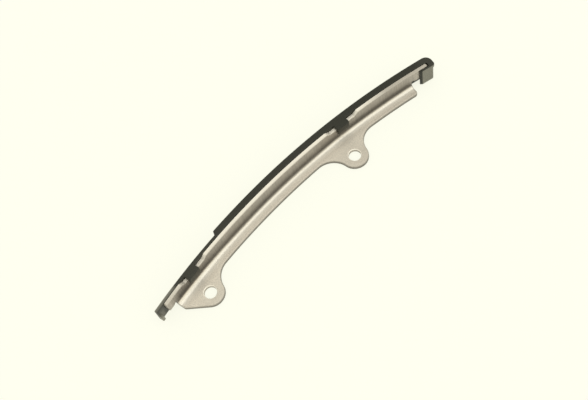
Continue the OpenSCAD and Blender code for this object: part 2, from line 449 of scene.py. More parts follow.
    def wall_end(self, flange_s: float, wall_s: float, side: float) -> list[tuple[float, float, float]]:
        """Corners of the wall past an end of the flange, from the relief to the wall's top.

        Args:
            flange_s: End of the flange.
            wall_s: End of the wall.
            side: 1 for the upper end, -1 for the lower.

        Returns:
            Rows of s, q and rounding.
        """
        foot = self.up_wall(self.bend_top + self.edge_rise)
        top = self.up_wall(self.wall_h)
        relief = self.relief_r
        return [
            (flange_s, foot + relief, self.relief_round),
            (flange_s + side * relief, foot + relief, self.relief_round),
            (flange_s + side * 2 * relief, foot, self.foot_round),
            (wall_s, foot, self.wall_corner),
            (wall_s, top, self.wall_corner),
        ]

    def outline(self) -> np.ndarray:
        """Closed outline of the blank, counter-clockwise in (s, q).

        Returns:
            Points (s, q) of the rounded outline.
        """
        edge = self.edge_of_flange()
        free = -self.flange_w + self.arc.wall_r - self.bend_line_r
        top = self.up_wall(self.wall_h)
        floor = self.up_wall(self.wall_h - self.notch_depth)
        flange_end = [(self.flange_hi, free, self.flange_corner)]
        upper = self.wall_end(self.flange_hi, self.wall_hi, 1.0)
        notches = [
            (notch.place + side, height, rounding)
            for notch in self.notches
            for side, height, rounding in (
                (self.notch_half + notch.run + self.notch_slope, top, self.notch_top_round),
                (self.notch_half + notch.run, floor, self.notch_floor_round),
                (-self.notch_half - notch.back, floor, self.notch_floor_round),
                (-self.notch_half - notch.back - self.notch_slope, top, self.notch_top_round),
            )
        ]
        lower = self.wall_end(self.flange_lo, self.wall_lo, -1.0)[::-1]
        corners = np.array(flange_end + upper + notches + lower)
        points = np.concatenate([edge, corners[:, :2]])
        radii = np.concatenate([np.zeros(len(edge)), corners[:, 2]])
        radii[0] = self.flange_corner
        return densify(round_corners(points, radii), self.loop_step)

    def holes(self) -> list[np.ndarray]:
        """Closed loops round the bolt holes, clockwise in the blank."""
        angles = np.linspace(0.0, -2 * math.pi, self.hole_points, endpoint=False)
        ring = self.bolt_d / 2 * np.stack([np.cos(angles), np.sin(angles)], axis=1)
        return [self.to_blank(ear + ring) for ear in self.ears()]

    def rim(self, loop: np.ndarray) -> tuple[np.ndarray, np.ndarray]:
        """Sheared edge carried along a loop of the blank.

        The shear rolls the inner face over and leaves the outer edge nearly sharp. A point at the angle w
        of the roll is inset by roll_r (1 - sin w) and has the depth sheet_t - roll_r (1 - cos w), and the
        same holds from the other face with burr_r. The last row brings the outer face to the same inset.

        Args:
            loop: Outline that the material lies to the left of.

        Returns:
            Points and unit normals of the rows, inner face first.
        """
        w = quarter()
        back = w[::-1]
        roll, burr = self.roll_r, self.burr_r
        inset = np.concatenate([roll * (1 - np.sin(w)), burr * (1 - np.sin(back)), [roll]])
        depth = np.concatenate([self.sheet_t - roll * (1 - np.cos(w)), burr * (1 - np.cos(back)), [0.0]])
        side = np.concatenate([np.sin(w), np.sin(back), [0.0]])
        lift = np.concatenate([np.cos(w), -np.cos(back), [-1.0]])
        out = outward(loop)
        blank = loop[None] - inset[:, None, None] * out[None]
        along, across, inner = self.fold_axes(blank)
        flat = out[None, :, :1] * along + out[None, :, 1:] * across
        normal = side[:, None, None] * flat + lift[:, None, None] * inner
        return self.fold(blank, depth[:, None]), normal

    def fill(self, loops: list[np.ndarray]) -> tuple[np.ndarray, np.ndarray]:
        """Triangles of the blank between its inset outline and holes.

        A grid of points, close across the bend and wider along it, is joined to the loops by Delaunay
        triangles.

        Args:
            loops: Inset loops, the outline first.

        Returns:
            Points (s, q) and the triangles' point numbers.
        """
        low = loops[0].min(axis=0)
        high = loops[0].max(axis=0)
        s_values = np.arange(low[0] + self.grid_s, high[0], self.grid_s)
        q_values = np.concatenate(
            [
                np.arange(low[1] + 1.0, -self.border_gap, self.flange_step),
                np.linspace(0.0, self.fold_len, self.bend_rows),
                np.arange(self.fold_len + 1.3, high[1], self.wall_step),
            ]
        )
        grid = np.stack(np.meshgrid(s_values, q_values, indexing="ij"), axis=2).reshape(-1, 2)
        border = np.concatenate(loops)
        blocks = np.array_split(grid, 24)
        gaps = [np.abs(block[:, None] - border[None]).max(axis=2).min(axis=1) for block in blocks]
        points, triangles = fill_loops(loops, grid[np.concatenate(gaps) > self.border_gap])
        middle = points[triangles].mean(axis=1)
        xy = self.arc.plan(middle[:, 0], self.bend_line_r + middle[:, 1])
        gap = np.stack([np.linalg.norm(xy - ear, axis=1) for ear in self.ears()]).min(axis=0)
        triangles = triangles[(gap > self.bolt_d / 2 + self.roll_r - 0.01) | (middle[:, 1] > 0.0)]
        used, renumbered = np.unique(triangles, return_inverse=True)
        return points[used], renumbered.reshape(-1, 3)

    def free_edge(self, q: np.ndarray) -> np.ndarray:
        """Share of the wall's free edge in a cut edge: 0 at the flange, 1 near the wall's top."""
        return np.interp(q, [self.fold_len + 3.0, self.fold_len + 5.0], [0.0, 1.0])

    def edge_highlight(self, s: np.ndarray) -> np.ndarray:
        """Share of painted highlight on the wall's free edge: full in its middle and none at its upper end.
        """
        return np.interp(s, [-88.0, -76.0, -62.0, 55.0, 74.0], [0.35, 0.65, 1.0, 1.0, 0.0])

    def cut_tone(self, loop: np.ndarray) -> np.ndarray:
        """Brightness of the cut edge: painted shade at the flange and a painted highlight at the wall's
        top.
        """
        bright = self.far_edge_tone + (self.edge_tone - self.far_edge_tone) * self.edge_highlight(loop[:, 0])
        return self.shaded_edge_tone + (bright - self.shaded_edge_tone) * self.free_edge(loop[:, 1])

    def shade_lift(self, blank: np.ndarray) -> np.ndarray:
        """Places across the sheet, shifted so that the painted shade lies higher beside the ears and the
        ends.
        """
        s, q = blank[..., 0], blank[..., 1]
        places = [-88.0, -80.0, -60.0, -50.0, -38.0, 20.0, 36.0, 55.0, 75.0, 88.0]
        lift = np.interp(s, places, [1.9, 1.7, 0.9, 0.5, 0.0, 0.0, 0.5, 0.3, 0.4, 0.6])
        return np.where(q > 0.0, np.maximum(q - lift, 0.0), q)

    def shade_depth(self, s: np.ndarray, q: np.ndarray) -> np.ndarray:
        """Share of brightness that painted shade takes from the lower stretch of the wall and from its
        foot.

        Args:
            s: Places along the guide.
            q: Lengths across the sheet.

        Returns:
            Share that is lost at each point.
        """
        on_wall = np.interp(q, self.fold_len * np.array([0.45, 0.8]), [0.0, 1.0])
        at_foot = on_wall * np.interp(q, self.fold_len + np.array([0.8, 2.5]), [1.0, 0.0])
        # painted shade: deeper on the lower stretch of the wall towards its lower end, and at its foot
        low_end = np.interp(s, [-84.0, -72.0, -60.0, -46.0], [0.36, 0.36, 0.16, 0.0])
        foot = np.interp(s, [-70.0, -50.0, 25.0, 55.0], [0.12, 0.06, 0.06, 0.24])
        return low_end * on_wall + foot * at_foot

    def tone(self, blank: np.ndarray) -> np.ndarray:
        """Brightness of the metal at points of the inner face, with light and shade painted in.

        The start of the bend has a painted highlight, and its end and the wall over the flange have
        painted shade.

        Args:
            blank: Points (s, q) of the blank.

        Returns:
            Share of the metal's full brightness at each point.
        """
        s, q = blank[..., 0], blank[..., 1]
        flange_q = np.array([-12.0, -5.0])
        bend_q = self.fold_len * np.array([-0.3, -0.05, 0.2, 0.34, 0.48, 0.62, 0.8])
        wall_q = self.fold_len + np.array([0.1, 1.2, 2.3, 3.4, 4.5, 7.0])
        flange_tone = [0.86, 1.02]
        bend_tone = [1.04, 1.1, 1.1, 1.1, 0.76, 0.36, 0.26]
        wall_tone = [0.27, 0.36, 0.45, 0.51, 0.56, 0.61]
        knots = np.concatenate([flange_q, bend_q, wall_q])
        lifted = self.shade_lift(blank)
        # painted highlight at the start of the bend, painted shade at its end and up the wall
        shaded = np.interp(lifted, knots, flange_tone + bend_tone + wall_tone)
        shaded = shaded * (1.0 - self.shade_depth(s, lifted))
        # painted light: the flange and the bend's start brighter towards the lower end, darker towards the
        # upper
        painted_light = np.interp(s, [-85.0, -45.0, 25.0, 60.0, 88.0], [1.06, 1.0, 0.98, 0.93, 0.87])
        shaded = shaded * (1.0 + (painted_light - 1.0) * np.interp(q, [0.0, 1.5], [1.0, 0.0]))
        # past the flange's ends the painted shade on the wall gives way to a flat, lighter tone
        past = np.maximum(s - self.flange_hi, self.flange_lo - s)
        unshaded = np.interp(past, [-3.0, 3.0], [0.0, 1.0]) * (q > self.fold_len)
        return shaded + unshaded * (self.past_flange_tone - shaded)

    def highlight_share(self, blank: np.ndarray) -> np.ndarray:
        """Share of painted highlight on the inner face along the start of the bend."""
        knots = self.fold_len * np.array([-0.3, -0.05, 0.2, 0.34, 0.46])
        return np.interp(self.shade_lift(blank), knots, [0.0, 0.85, 0.85, 0.45, 0.0])

    def rim_marks(self, loop: np.ndarray, count: int, hole: bool) -> tuple[np.ndarray, np.ndarray]:
        """Brightness and painted highlight of the rows of a sheared edge.

        Both run from the inner face's values over the roll to the cut's own, and the last row has the
        outer face's. A hole's roll has a painted highlight, and its bore painted shade.

        Args:
            loop: Outline of the edge in the blank.
            count: Number of rows.
            hole: Whether the edge is a bolt hole's.

        Returns:
            Brightness and burnish, one row for each row of the edge.
        """
        knots = [0, 2, 4, 5, count - 2, count - 1]
        row = np.arange(count)[:, None]
        share = np.interp(row, knots, [0.0, 0.45, 0.8, 1.0, 1.0, 0.0])
        upper = row < count / 2
        face = np.where(upper, self.tone(loop), self.face_tone)
        if hole:
            # painted shade in the bore and a painted highlight on the roll
            lightened = np.interp(row, knots, [0.0, 1.0, 0.0, 0.0, 0.0, 0.0])
            tones = (1 - share) * face + share * self.hole_tone
            return tones + lightened * (self.hole_rim_tone - tones), np.broadcast_to(lightened, tones.shape)
        shine = np.where(upper, self.highlight_share(loop), 0.0)
        tones = (1 - share) * face + share * self.cut_tone(loop)
        # painted highlight blended along the wall's free edge
        edge_shine = self.edge_shine * self.edge_highlight(loop[:, 0]) * self.free_edge(loop[:, 1])
        return tones, (1 - share) * shine + share * edge_shine

    def build(self) -> bpy.types.Object:
        """Build the folded sheet as one closed mesh with its true normals.

        Returns:
            The bracket's object, with the metal's brightness, painted light and shade included, and the
            share of painted highlight as point attributes.
        """
        loops = [self.outline(), *self.holes()]
        rims = [self.rim(loop) for loop in loops]
        inset = [loop - self.roll_r * outward(loop) for loop in loops]
        blank, triangles = self.fill(inset)
        inner_axis = self.fold_axes(blank)[2]
        none = np.zeros(len(blank))
        points = [self.fold(blank, none + self.sheet_t), self.fold(blank, none)]
        normals = [inner_axis, -inner_axis]
        tones = [self.tone(blank), none + self.face_tone]
        shines = [self.highlight_share(blank), none]
        faces = [triangles, triangles[:, ::-1] + len(blank)]
        quads = []
        first = 2 * len(blank)
        for number, (loop, (rows, row_normals)) in enumerate(zip(loops, rims)):
            count, columns = rows.shape[:2]
            points.append(rows.reshape(-1, 3))
            normals.append(row_normals.reshape(-1, 3))
            row_tones, row_shines = self.rim_marks(loop, count, number > 0)
            tones.append(row_tones.ravel())
            shines.append(row_shines.ravel())
            quads.append(ring_quads(count, columns)[:, ::-1] + first)
            first += count * columns
        all_points, all_normals = np.concatenate(points), np.concatenate(normals)
        key = np.round(all_points / self.weld_step).astype(np.int64)
        _, kept, number = np.unique(key, axis=0, return_index=True, return_inverse=True)
        number = number.ravel()
        piece = put_mesh(
            "pressed_bracket",
            all_points[kept],
            number[np.concatenate(faces)].tolist() + number[np.concatenate(quads)].tolist(),
        )
        unit = all_normals[kept] / np.linalg.norm(all_normals[kept], axis=1, keepdims=True)
        piece.data.normals_split_custom_set_from_vertices(unit.tolist())
        # brightness with painted light and shade, then the share of painted highlight
        put_mark(piece, "tone", np.concatenate(tones)[kept])
        put_mark(piece, "highlight_share", np.concatenate(shines)[kept])
        return piece


@dataclass
class Shoe:
    """Moulded nylon shoe: a curved channel with rails, a hook, two clips and an end lip."""

    arc: GuideArc = field(default_factory=GuideArc)
    sheet_t: float = 2.0
    wall_lo: float = -90.4
    wall_hi: float = 100.2
    notch_floor: float = 10.4
    fit_gap: float = 0.1
    base_t: float = 1.7
    rail_h: float = 2.1
    rail_w: float = 1.9
    rail_lo: float = -47.5
    rail_slope: float = 1.2
    rail_round: float = 0.7
    bottom: float = 0.2
    top: float = 12.2
    tail: float = 5.5
    tail_rise: float = 2.0
    tail_len: float = 13.5
    lip_t: float = 1.7
    lip_reach: float = 1.3
    lip_top: float = 5.8
    lip_root: float = 0.2
    end_round: float = 0.4
    tip_gap: float = 0.4
    hook_t: float = 3.4
    hook_round: float = 4.0
    leg_gap: float = 0.4
    leg_t: float = 1.2
    leg_round: float = 1.6
    leg_len: float = 5.8
    leg_end_t: float = 0.4
    leg_taper: float = 1.2
    leg_tip_round: float = 0.15
    taper_round: float = 0.4
    slot_round: float = 0.5
    clip_places: tuple[float, float] = (-69.5, 42.2)
    clip_len: float = 8.0
    clip_t: float = 1.6
    clip_drop: float = 5.0
    clip_lead: float = 0.7
    clip_round: float = 0.4
    clip_root: float = 0.25
    clip_head: float = 0.9
    edge_r: float = 0.3
    crest_r: float = 0.45
    groove_foot: float = 0.3
    groove_foot_share: float = 0.86
    seam: float = 0.02
    slant: float = 0.06
    recess: float = 0.7
    loop_step: float = 1.2
    sharp_angle: float = 38.0

    @property
    def seat_r(self) -> float:
        """Radius of the face that lies on the wall."""
        return self.arc.wall_r + self.fit_gap

    @property
    def shoe_lo(self) -> float:
        """Lower end of the shoe."""
        return self.wall_lo - self.tail

    @property
    def step_s(self) -> float:
        """Place where the lower side starts to rise towards the lower end."""
        return self.shoe_lo + self.tail_len

    @property
    def track_r(self) -> float:
        """Radius of the running face."""
        return self.seat_r + self.base_t

    @property
    def rail_top_r(self) -> float:
        """Radius of the rails' crests."""
        return self.track_r + self.rail_h

    @property
    def clip_back_r(self) -> float:
        """Radius of the clips' face on the wall's back."""
        return self.arc.wall_r - self.sheet_t - self.fit_gap

    @property
    def leg_back_r(self) -> float:
        """Radius of the face of the hook's leg towards the wall's back."""
        return self.arc.wall_r - self.sheet_t - self.leg_gap

    def outline(self) -> tuple[np.ndarray, np.ndarray, np.ndarray]:
        """Closed outline of the shoe in (s, r), with clips and lip in full, clockwise in plan.

        Returns:
            The loop, and masks of its clip points and of its lip points.
        """
        low = self.shoe_lo
        step = self.step_s
        slot_end = self.wall_hi + self.tip_gap
        hook_end = slot_end + self.hook_t
        leg_r = self.leg_back_r - self.leg_t
        leg_lo = self.wall_hi - self.leg_len
        clip_r = self.clip_back_r - self.clip_t
        half = self.clip_len / 2
        lip_r = self.seat_r - self.lip_reach
        before = np.array(
            [
                (low, self.track_r, self.end_round),
                (step - self.tail_rise, self.track_r, 0.0),
                (step, self.track_r, 0.0),
                (self.rail_lo, self.track_r, self.rail_round),
                (self.rail_lo + self.rail_slope, self.rail_top_r, self.rail_round),
            ]
        )
        hook = np.array(
            [
                (hook_end, self.rail_top_r, self.hook_round),
                (hook_end, leg_r, self.leg_round),
                (leg_lo + self.leg_taper, leg_r, self.taper_round),
                (leg_lo, self.leg_back_r - self.leg_end_t, self.leg_tip_round),
                (leg_lo, self.leg_back_r, self.leg_tip_round),
                (slot_end, self.leg_back_r, self.slot_round),
                (slot_end, self.seat_r, self.slot_round),
            ]
        )
        clips = [
            (place + side, radius, rounding)
            for place in sorted(self.clip_places, reverse=True)
            for side, radius, rounding in (
                (half + self.slant, self.seat_r, self.clip_root),
                (half - self.slant, clip_r, self.clip_round),
                (-half + self.slant, clip_r, self.clip_round),
                (-half - self.slant, self.seat_r, self.clip_root),
            )
        ]
        lip = [
            (step, self.seat_r, 0.0),
            (step - self.tail_rise, self.seat_r, 0.0),
            (low + self.lip_t + self.slant, self.seat_r, self.lip_root),
            (low + self.lip_t - self.slant, lip_r, self.end_round),
            (low, lip_r, self.end_round),
        ]
        corners = np.concatenate([before, hook, np.array(clips), np.array(lip)])
        loop = densify(round_corners(corners[:, :2], corners[:, 2], 14), self.loop_step)
        inward = loop[:, 1] < self.seat_r - 1e-6
        near_clip = (np.abs(loop[:, :1] - np.array(self.clip_places)) < half + 1.0).any(axis=1)
        near_lip = loop[:, 0] < low + self.lip_t + 1.0
        return loop, inward & near_clip, inward & near_lip

    def without_lip(self, loop: np.ndarray, lip_mask: np.ndarray) -> np.ndarray:
        """Radii of the outline's points where there is no lip.

        The lip's points go back to the seat. At the lower end its corner moves to the seat's corner as a
        whole, and the end face between the corners is shortened.

        Args:
            loop: Outline in (s, r).
            lip_mask: Mask of the lip's points.

        Returns:
            The new radius of each point.
        """
        s, r = loop.T
        lip_r = self.seat_r - self.lip_reach
        outer = self.track_r - self.end_round
        knots = [lip_r, lip_r + self.end_round, outer]
        end_face = np.interp(r, knots, [self.seat_r, self.seat_r + self.end_round, outer])
        at_end = (s < self.shoe_lo + self.end_round) & (r < outer)
        return np.where(at_end, end_face, np.where(lip_mask, self.seat_r, r))

    def raised(self, s: np.ndarray, z: np.ndarray) -> np.ndarray:
        """Heights squeezed towards the top where the lower side is raised.

        With the rise h at a place, a height z becomes top - (top - z) (top - bottom - h) / (top - bottom).

        Args:
            s: Places along the guide.
            z: Heights before the squeeze.

        Returns:
            Heights after the squeeze.
        """
        tall = self.top - self.bottom
        rise = np.clip(self.step_s - s, 0.0, self.tail_rise)
        return self.top - (self.top - z) * (tall - rise) / tall

    def rows(self) -> np.ndarray:
        """Heights of the stacked loops, with the inset and the shares of groove and clip at each.

        The groove's share is 0 on the rails and 1 on the running face, with rounded crests. The clips are
        there only above the notches' floor. Two heights are placed where the squeeze at the lower end
        brings them to the ends of the lip's sloping top.

        Returns:
            One row for each loop: height, inset, groove, clip.
        """
        w = quarter()
        e = self.edge_r
        rail_in, rail_out = self.bottom + self.rail_w, self.top - self.rail_w
        crest = self.crest_r / self.rail_h
        knot_low = rail_in - self.crest_r * (1 - np.sin(w))
        groove_z = np.concatenate([knot_low, [rail_in + self.seam, rail_in + self.groove_foot]])
        groove_share = np.concatenate([crest * (1 - np.cos(w)), [self.groove_foot_share, 1.0]])
        mirrored = (self.bottom + self.top - groove_z)[::-1]
        all_z = np.concatenate([groove_z, mirrored])
        all_share = np.concatenate([groove_share, groove_share[::-1]])
        bridge = self.notch_floor + self.fit_gap
        low_edge = self.bottom + e * (1 - np.cos(w))
        high_edge = self.top - e * (1 - np.cos(w[::-1]))
        edge_z = np.concatenate([low_edge, high_edge])
        edge_inset = np.concatenate([e * (1 - np.sin(w)), e * (1 - np.sin(w[::-1]))])
        tall = self.top - self.bottom
        lip_z = np.array([self.lip_top, self.lip_top + self.lip_reach])
        lip_rows = self.top - (self.top - lip_z) * tall / (tall - self.tail_rise)
        middle = np.array([bridge, bridge + self.seam, (rail_in + rail_out) / 2])
        z = np.unique(np.round(np.concatenate([edge_z, all_z, lip_rows, middle]), 5))
        inset = np.interp(z, edge_z, edge_inset)
        groove = np.interp(z, all_z, all_share)
        clip = np.interp(z, [bridge, bridge + self.seam], [0.0, 1.0])
        return np.stack([z, inset, groove, clip], axis=1)

    def paleness(self, s: np.ndarray, r: np.ndarray, z: np.ndarray) -> np.ndarray:
        """How pale the nylon is painted: most at the lip and the lower end, with painted light on the lower
        part of the inner face there, and a painted sheen on the hook's leg.

        A faint painted light fades along the shoe from the lower end to the upper.

        Args:
            s: Places along the guide.
            r: Radii in plan.
            z: Heights.

        Returns:
            Share of the scuffed colour at each point.
        """
        end = np.interp(s, [self.shoe_lo + 14.0, self.shoe_lo + 17.0], [1.0, 0.0])
        over = np.interp(z, [self.top - 0.2, self.top - 0.02], [0.0, 1.0])
        # paler top face near the lower end
        upper = over * np.interp(r, [self.seat_r, self.track_r], [0.3, 0.8])
        tip = np.interp(s, [self.wall_lo - 2.6, self.wall_lo - 1.2], [1.0, 0.1])
        # painted light on the lower part of the inner face past the wall's end; the upper part stays dark
        # as shade
        lower = np.interp(z, [7.0, 8.5], [0.45, 0.0]) * tip * (r < self.seat_r + 0.3)
        lip = np.interp(r, [self.seat_r - 0.8, self.seat_r - 0.3], [0.9, 0.0])
        bar = self.wall_hi - self.leg_len + self.leg_taper
        hook = np.interp(s, [bar - 0.1, bar + 0.1], [0.0, 1.0])
        # painted sheen on the hook's leg
        leg = np.interp(r, [self.leg_back_r - self.leg_t + 0.1, self.leg_back_r - 0.3], [0.66, 0.0])
        # painted sheen on the hook's top
        cap = np.interp(s, [bar - 1.0, bar + 3.0], [0.0, 0.05]) * over
        # painted light fading from the lower end to the upper
        light_fade = np.interp(s, [-65.0, -45.0, -30.0, 30.0, 55.0], [0.06, 0.045, 0.028, 0.022, 0.0])
        ends = end * np.maximum(np.maximum(upper, lower), lip)
        return np.maximum(np.maximum(ends, light_fade), np.maximum(hook * (1 - over) * leg, cap))

    def body(self) -> tuple[np.ndarray, list[list[int]]]:
        """Points and faces of the shoe as a stack of loops with a face on each end.

        In each loop the outer points sink towards the running face by the groove's share, and the points
        of the clips and the lip draw back to the seat where their share is 0. Under the upper rail the
        hook's end is set back by the recess. Towards the tip of the hook's leg the edges get sharper.

        Returns:
            Points in millimetres and the faces.
        """
        loop, clip_mask, lip_mask = self.outline()
        z, inset, groove, clip = self.rows().T
        r = loop[:, 1]
        height = self.raised(loop[None, :, 0], z[:, None])
        lip = np.interp(height, [self.lip_top, self.lip_top + self.lip_reach], [1.0, 0.0])
        sink = np.minimum(self.track_r - r, 0.0)
        draw = self.seat_r - r
        radius = (
            r
            + groove[:, None] * sink
            + (1 - lip) * (self.without_lip(loop, lip_mask) - r)
            + (1 - clip)[:, None] * np.where(clip_mask, draw, 0.0)
        )
        slot_end = self.wall_hi + self.tip_gap
        past = np.clip((loop[:, 0] - slot_end) / self.hook_t, 0.0, 1.0)
        rail_foot = self.top - self.rail_w
        under_rail = np.interp(z, [rail_foot - self.groove_foot, rail_foot], [1.0, 0.0])
        plan = self.arc.plan(loop[:, 0] - self.recess * under_rail[:, None] * past, radius)
        chord = np.roll(plan, -1, axis=1) - np.roll(plan, 1, axis=1)
        normal = np.stack([-chord[..., 1], chord[..., 0]], axis=2)
        normal /= np.maximum(np.linalg.norm(normal, axis=2, keepdims=True), 1e-9)
        leg_lo = self.wall_hi - self.leg_len
        on_leg = (r < self.leg_back_r + 0.01) & (loop[:, 0] > leg_lo - 0.5)
        soft = np.where(on_leg, np.interp(loop[:, 0], [leg_lo + 0.4, leg_lo + 2.4], [0.4, 1.0]), 1.0)
        plan = plan - inset[:, None, None] * soft[None, :, None] * normal
        points = np.concatenate([plan, height[..., None]], axis=2).reshape(-1, 3)
        rows, columns = plan.shape[:2]
        _, under = fill_loops([plan[0]], np.zeros((0, 2)))
        _, over = fill_loops([plan[-1]], np.zeros((0, 2)))
        faces = ring_quads(rows, columns)[:, ::-1].tolist() + under[:, ::-1].tolist()
        faces += (over + (rows - 1) * columns).tolist()
        return points, faces

    def clip_leg(self, place: float) -> tuple[np.ndarray, list[list[int]]]:
        """Points and faces of one clip's leg, its section carried along the guide with rounded ends.

        Args:
            place: Place of the clip along the guide.

        Returns:
            Points in millimetres and the faces.
        """
        face_y = self.clip_back_r - self.arc.wall_r
        back_y = face_y - self.clip_t + self.seam
        foot = self.top - self.clip_drop
        head = self.notch_floor + self.fit_gap + self.clip_head
        corners = np.array(
            [
                (face_y, head),
                (back_y, head),
                (back_y, foot + self.clip_lead),
                (back_y + self.clip_lead, foot),
                (face_y, foot),
            ]
        )
        loop = round_corners(corners, np.full(len(corners), self.clip_round + 0.05))
        w = quarter()
        e = self.clip_round
        half = self.clip_len / 2 - self.slant - 0.01
        x = np.concatenate([-half + e * (1 - np.cos(w)), half - e * (1 - np.cos(w[::-1]))])
        inset = np.concatenate([e * (1 - np.sin(w)), e * (1 - np.sin(w[::-1]))])
        section = loop[None] - inset[:, None, None] * outward(loop)[None]
        rows, columns = section.shape[:2]
        s = np.broadcast_to(place + x[:, None], (rows, columns))
        plan = self.arc.plan(s, self.arc.wall_r + section[..., 0])
        points = np.concatenate([plan, section[..., 1:]], axis=2).reshape(-1, 3)
        faces = ring_quads(rows, columns).tolist()
        faces.append(list(range(columns - 1, -1, -1)))
        faces.append(list(range((rows - 1) * columns, rows * columns)))
        return points, faces

    def build(self) -> bpy.types.Object:
        """Build the shoe with its clips as one object.

        Returns:
            The shoe's object, with how pale each point is painted, painted sheen and light included, in a
            point attribute.
        """
        parts = [self.body(), *[self.clip_leg(place) for place in self.clip_places]]
        first = np.cumsum([0] + [len(points) for points, _ in parts[:-1]])
        faces = [[int(start) + n for n in face] for start, (_, part) in zip(first, parts) for face in part]
        points = np.concatenate([part for part, _ in parts])
        piece = put_mesh("moulded_shoe", points, faces)
        piece.data.set_sharp_from_angle(angle=math.radians(self.sharp_angle))
        s, r = self.arc.place(points[:, :2]).T
        put_mark(piece, "paleness", self.paleness(s, r, points[:, 2]))
        return piece


class NodeSheet:
    """Small helper that adds shader nodes to a material and links them."""

    def __init__(self, name: str) -> None:
        """Start an empty material with a Principled shader.

        Args:
            name: Name of the material.
        """
        self.material = bpy.data.materials.new(name)
        self.material.use_nodes = True
        self.tree = self.material.node_tree
        self.tree.nodes.clear()
        self.output = self.add("ShaderNodeOutputMaterial")
        self.shader = self.add("ShaderNodeBsdfPrincipled")
        self.link(self.shader.outputs["BSDF"], self.output.inputs["Surface"])
        self.coords = self.add("ShaderNodeTexCoord")

    def add(self, kind: str, **inputs: object) -> bpy.types.Node:
        """Add a node and set its named inputs."""
        node = self.tree.nodes.new(kind)
        for name, value in inputs.items():
            node.inputs[name.replace("_", " ")].default_value = value
        return node

    def link(self, source: bpy.types.NodeSocket, target: bpy.types.NodeSocket) -> None:
        """Link an output to an input."""
        self.tree.links.new(source, target)

    def mark(self, name: str) -> bpy.types.NodeSocket:
        """Value of a piece's attribute."""
        node = self.add("ShaderNodeAttribute")
        node.attribute_name = name
        return node.outputs["Fac"]

    def noise(
        self, stretch: tuple[float, float, float], detail: float, roughness: float = 0.5
    ) -> bpy.types.NodeSocket:
        """Noise on object coordinates, stretched along the axes.

        Args:
            stretch: Cells per metre along each axis.
            detail: Number of finer layers.
            roughness: Strength of the finer layers.

        Returns:
            The noise value's socket.
        """
        mapping = self.add("ShaderNodeMapping", Scale=stretch)
        self.link(self.coords.outputs["Object"], mapping.inputs["Vector"])
        node = self.add("ShaderNodeTexNoise", Scale=1.0, Detail=detail, Roughness=roughness)
        self.link(mapping.outputs["Vector"], node.inputs["Vector"])
        return node.outputs["Fac"]

    def ramp(
        self, value: bpy.types.NodeSocket, stops: Sequence[tuple[float, Sequence[float]]]
    ) -> bpy.types.NodeSocket:
        """Colour ramp over a value.

        Args:
            value: Socket that the ramp reads.
            stops: Positions and colours.

        Returns:
            The colour's socket.
        """
        node = self.add("ShaderNodeValToRGB")
        elements = node.color_ramp.elements
        while len(elements) < len(stops):
            elements.new(0.5)
        for element, (position, colour) in zip(elements, stops):
            element.position = position
            element.color = (*colour, 1.0)
        self.link(value, node.inputs["Fac"])
        return node.outputs["Color"]

    def spread(self, value: bpy.types.NodeSocket, low: float, high: float) -> bpy.types.NodeSocket:
        """Map a value from the middle of a noise to a range.

        Args:
            value: Socket that is mapped.
            low: Result at 0.3.
            high: Result at 0.7.

        Returns:
            The mapped value's socket.
        """
        node = self.add("ShaderNodeMapRange", From_Min=0.3, From_Max=0.7, To_Min=low, To_Max=high)
        self.link(value, node.inputs["Value"])
        return node.outputs["Result"]

    def mixer(self, mode: str) -> tuple[bpy.types.Node, bpy.types.NodeSocket]:
        """Add a node that mixes colours in a mode, and find its colour output."""
        node = self.tree.nodes.new("ShaderNodeMix")
        node.data_type = "RGBA"
        node.blend_type = mode
        return node, next(out for out in node.outputs if out.type == "RGBA")

    def multiply(self, a: bpy.types.NodeSocket, b: bpy.types.NodeSocket) -> bpy.types.NodeSocket:
        """Multiply two colours.

        Args:
            a: First colour.
            b: Second colour.

        Returns:
            The product's socket.
        """
        node, product = self.mixer("MULTIPLY")
        node.inputs["Factor"].default_value = 1.0
        self.link(a, node.inputs["A"])
        self.link(b, node.inputs["B"])
        return product

    def blend(
        self, a: bpy.types.NodeSocket, colour: tuple[float, float, float], share: bpy.types.NodeSocket
    ) -> bpy.types.NodeSocket:
        """Blend a colour socket into a plain colour.

        Args:
            a: Colour where the share is 0.
            colour: Colour where the share is 1.
            share: Socket of the share.

        Returns:
            The blended colour's socket.
        """
        node, blended = self.mixer("MIX")
        self.link(share, node.inputs["Factor"])
        self.link(a, node.inputs["A"])
        node.inputs["B"].default_value = (*colour, 1.0)
        return blended

    def bump(self, height: bpy.types.NodeSocket, distance: float, strength: float) -> None:
        """Bend the shader's normal by a height.

        Args:
            height: Height's socket.
            distance: Height of a full step in metres.
            strength: Share of the bump that is used.
        """
        node = self.add("ShaderNodeBump", Strength=strength, Distance=distance)
        self.link(height, node.inputs["Height"])
        self.link(node.outputs["Normal"], self.shader.inputs["Normal"])


